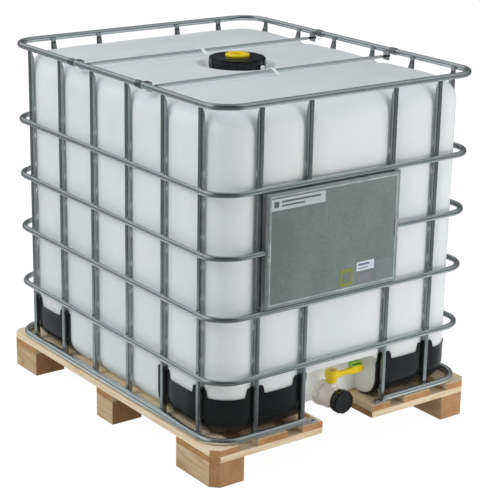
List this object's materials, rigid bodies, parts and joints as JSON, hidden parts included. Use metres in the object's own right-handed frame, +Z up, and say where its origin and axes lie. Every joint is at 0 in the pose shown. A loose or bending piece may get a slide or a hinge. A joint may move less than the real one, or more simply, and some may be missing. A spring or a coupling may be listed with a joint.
{
  "type": "intermediate bulk container",
  "caption": "Liquid bulk container: white moulded bottle inside a welded tube cage on a timber fork pallet, with a top screw cap and a bottom outlet valve.",
  "frame": {"origin": "centre of the pallet footprint, on the ground under the blocks", "axes": "+Z up, -Y towards the outlet valve and marking plate, +X to the right seen from the valve side"},
  "size_m": [1, 1.2, 1.13],
  "materials": {
    "block_wood": "sawn, end grain",
    "board_wood": "sawn softwood",
    "nail_steel": "oxidised heads",
    "galvanised_tube": "galvanised, satin",
    "galvanised_sheet": "galvanised, faint spangle",
    "dark_steel": "threaded, blackened",
    "zinc_steel": "zinc plated",
    "label_film": "printed film, blank",
    "bottle_hdpe": "translucent natural polyethylene",
    "black_plastic": "moulded",
    "yellow_plastic": "moulded",
    "gasket_rubber": "matt",
    "natural_plastic": "translucent natural",
    "green_plastic": "moulded"
  },
  "bodies": {
    "container": {"pallet_blocks": "block_wood", "bearers": "board_wood", "deck_boards": "board_wood", "pallet_nails": "nail_steel", "bottom_ring": "galvanised_tube", "ring_lower": "galvanised_tube", "ring_lower_mid": "galvanised_tube", "ring_upper_mid": "galvanised_tube", "ring_upper": "galvanised_tube", "top_rail": "galvanised_tube", "uprights_left": "galvanised_tube", "uprights_right": "galvanised_tube", "uprights_front": "galvanised_tube", "uprights_rear": "galvanised_tube", "cross_bar_front": "galvanised_tube", "cross_bar_rear": "galvanised_tube", "bar_clips": "natural_plastic", "bar_studs": "dark_steel", "bar_clamps": "galvanised_sheet", "bar_nuts": "zinc_steel", "frame_straps": "galvanised_sheet", "frame_screws": "zinc_steel", "marking_plate": "galvanised_sheet", "plate_rivets": "zinc_steel", "plate_stickers": "label_film", "bottle": "bottle_hdpe", "corner_guard_fl": "black_plastic", "corner_guard_fr": "black_plastic", "corner_guard_rl": "black_plastic", "corner_guard_rr": "black_plastic", "outlet_gasket": "gasket_rubber", "union_nut": "natural_plastic", "valve_body": "natural_plastic", "seat_retainer": "natural_plastic", "ball_seats": "natural_plastic", "stem_oring": "gasket_rubber"},
    "fill_cap_rise": {"fill_cap_gasket": "gasket_rubber"},
    "fill_cap_turn": {"fill_cap": "black_plastic"},
    "vent_plug_rise": {"vent_plug_gasket": "gasket_rubber"},
    "vent_plug_turn": {"vent_plug": "yellow_plastic"},
    "valve_lever": {"lever": "yellow_plastic", "lever_screw": "zinc_steel", "valve_stem": "natural_plastic", "valve_ball": "natural_plastic", "tamper_tab": "green_plastic"},
    "outlet_cap_travel": {"outlet_cap_gasket": "gasket_rubber"},
    "outlet_cap_turn": {"outlet_cap": "black_plastic"}
  },
  "joints": [
    {"name": "fill_cap_rise_slide", "type": "slide", "parent": "container", "child": "fill_cap_rise", "axis": [0, 0, 1], "range_m": [0, 0.0241]},
    {"name": "fill_cap_screw", "type": "hinge", "parent": "fill_cap_rise", "child": "fill_cap_turn", "pos_m": [0, 0, 1.1], "axis": [0, 0, 1], "range_deg": [0, 1080]},
    {"name": "vent_plug_rise_slide", "type": "slide", "parent": "fill_cap_turn", "child": "vent_plug_rise", "axis": [0, 0, 1], "range_m": [0, 0.0121]},
    {"name": "vent_plug_screw", "type": "hinge", "parent": "vent_plug_rise", "child": "vent_plug_turn", "pos_m": [0, 0, 1.12], "axis": [0, 0, 1], "range_deg": [0, 1080]},
    {"name": "valve_quarter_turn", "type": "hinge", "parent": "container", "child": "valve_lever", "pos_m": [0, -0.515, 0.147], "axis": [0, 0, 1], "range_deg": [-90, 0]},
    {"name": "outlet_cap_travel_slide", "type": "slide", "parent": "container", "child": "outlet_cap_travel", "axis": [0, -1, 0], "range_m": [0, 0.0181]},
    {"name": "outlet_cap_screw", "type": "hinge", "parent": "outlet_cap_travel", "child": "outlet_cap_turn", "pos_m": [0, -0.56, 0.147], "axis": [0, -1, 0], "range_deg": [0, 1080]}
  ],
  "couplings": [
    {"joint": "fill_cap_rise_slide", "follows": "fill_cap_screw", "m_per_rad": 0.0012732},
    {"joint": "vent_plug_rise_slide", "follows": "vent_plug_screw", "m_per_rad": 0.00063662},
    {"joint": "outlet_cap_travel_slide", "follows": "outlet_cap_screw", "m_per_rad": 0.00095493}
  ]
}
